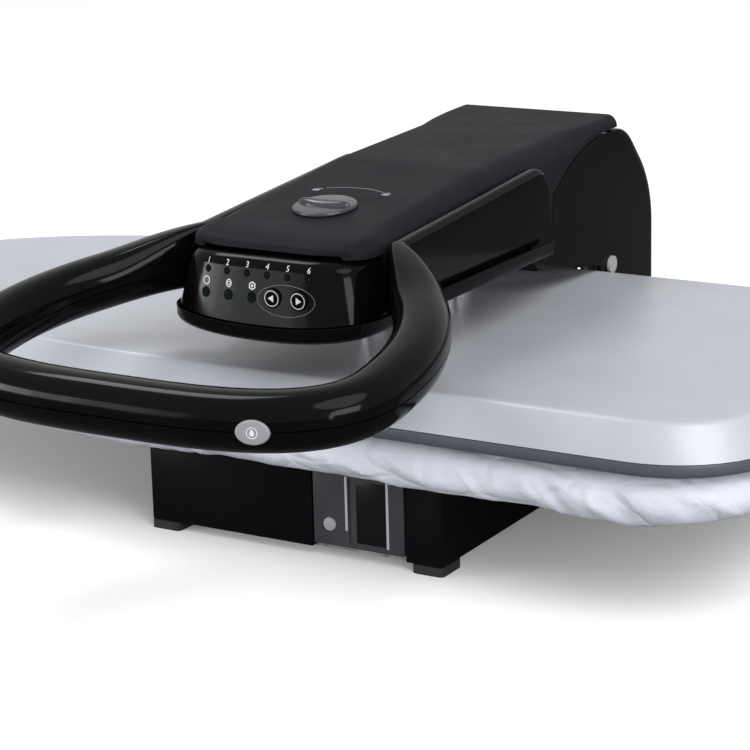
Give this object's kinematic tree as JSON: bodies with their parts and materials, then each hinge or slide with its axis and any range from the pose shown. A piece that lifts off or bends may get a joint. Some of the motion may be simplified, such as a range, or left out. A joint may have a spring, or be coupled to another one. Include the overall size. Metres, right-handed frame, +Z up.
{
  "type": "steam ironing press",
  "caption": "Tabletop steam ironing press: padded board on a base with a water tank, and a hinged arm that carries a long heated plate, with a loop handle in front.",
  "frame": {"origin": "middle of the press's footprint box, on the surface that the feet stand on", "axes": "+X to the square end of the plate, -Y to the front, where the handle and the panel are, +Z up"},
  "size_m": [0.625, 0.498, 0.1883],
  "materials": {
    "matte_black_plastic": "matt",
    "gloss_black_plastic": "gloss",
    "satin_black_plastic": "satin",
    "silver_paint": "satin silver",
    "slate_grey_plastic": "satin",
    "cast_aluminium": "ground",
    "zinc_plated_steel": "satin",
    "clear_smoke_plastic": "clear, smoke-tinted",
    "light_grey_plastic": "satin",
    "silver_white_cotton": "woven cotton",
    "grey_foam": "felted foam",
    "black_rubber": "matt",
    "circuit_board": "satin",
    "lamp_lens": "clear",
    "insulation_felt": "felt"
  },
  "bodies": {
    "base": {"base_housing": "satin_black_plastic", "base_bottom": "zinc_plated_steel", "foot_front_left": "black_rubber", "foot_front_right": "black_rubber", "foot_rear_left": "black_rubber", "foot_rear_right": "black_rubber", "tank_bay": "satin_black_plastic", "water_pump": "satin_black_plastic", "suction_hose": "clear_smoke_plastic", "power_board": "circuit_board", "cord_gland": "black_rubber", "board_frame": "zinc_plated_steel", "board_pan": "zinc_plated_steel", "board_pad": "grey_foam", "board_cover": "silver_white_cotton", "column_frame": "zinc_plated_steel", "column_cover": "satin_black_plastic", "hinge_pin": "zinc_plated_steel", "bush_left": "black_rubber", "bush_right": "black_rubber", "pin_clip": "zinc_plated_steel", "lift_spring": "zinc_plated_steel"},
    "plate_arm": {"arm_frame": "zinc_plated_steel", "plate_post_front": "zinc_plated_steel", "plate_post_rear": "zinc_plated_steel", "post_screw_front": "zinc_plated_steel", "post_screw_rear": "zinc_plated_steel", "cable_cover": "satin_black_plastic", "arm_top_cover": "matte_black_plastic", "arm_tray": "satin_black_plastic", "arm_hood": "gloss_black_plastic", "pin_cap_left": "light_grey_plastic", "pin_cap_right": "light_grey_plastic", "control_panel": "gloss_black_plastic", "nose_shell": "gloss_black_plastic", "control_board": "circuit_board", "fabric_lamps": "lamp_lens", "state_lamps": "lamp_lens", "plate_housing": "silver_paint", "plate_rim": "slate_grey_plastic", "soleplate": "cast_aluminium", "heating_element": "zinc_plated_steel", "steam_chamber": "cast_aluminium", "thermal_cutout": "zinc_plated_steel", "insulation_sheet": "insulation_felt", "handle_pivot_left": "zinc_plated_steel", "handle_pivot_right": "zinc_plated_steel"},
    "handle": {"handle_upper": "gloss_black_plastic", "handle_lower": "gloss_black_plastic", "steam_switch": "satin_black_plastic"},
    "steam_button": {"steam_button": "light_grey_plastic"},
    "lock_knob": {"lock_knob": "light_grey_plastic", "lock_spindle": "zinc_plated_steel"},
    "select_left": {"arrow_button_left": "light_grey_plastic"},
    "select_right": {"arrow_button_right": "light_grey_plastic"},
    "water_tank": {"water_tank": "clear_smoke_plastic", "tank_plug": "light_grey_plastic", "tank_valve": "black_rubber"}
  },
  "joints": [
    {"name": "arm_hinge", "type": "hinge", "parent": "base", "child": "plate_arm", "pos_m": [0.055, 0.1815, 0.101], "axis": [-1, 0, 0], "range_deg": [0, 35]},
    {"name": "handle_lever", "type": "hinge", "parent": "plate_arm", "child": "handle", "pos_m": [0.055, 0.0585, 0.158], "axis": [-1, 0, 0], "range_deg": [0, 10]},
    {"name": "steam_button_press", "type": "slide", "parent": "handle", "child": "steam_button", "axis": [-0.2588, 0.9659, 0], "range_m": [0, 0.0015], "stiffness_N_per_m": 300, "springref_m": -0.002},
    {"name": "lock_knob_turn", "type": "hinge", "parent": "plate_arm", "child": "lock_knob", "pos_m": [0.055, -0.0491, 0.17371], "axis": [0, -0.1034, 0.9946], "range_deg": [0, 60]},
    {"name": "select_left_press", "type": "slide", "parent": "plate_arm", "child": "select_left", "axis": [0, 1, 0], "range_m": [0, 0.0008], "stiffness_N_per_m": 200, "springref_m": -0.001},
    {"name": "select_right_press", "type": "slide", "parent": "plate_arm", "child": "select_right", "axis": [0, 1, 0], "range_m": [0, 0.0008], "stiffness_N_per_m": 200, "springref_m": -0.001},
    {"name": "water_tank_slide", "type": "slide", "parent": "base", "child": "water_tank", "axis": [0, -1, 0], "range_m": [0, 0.11]}
  ]
}
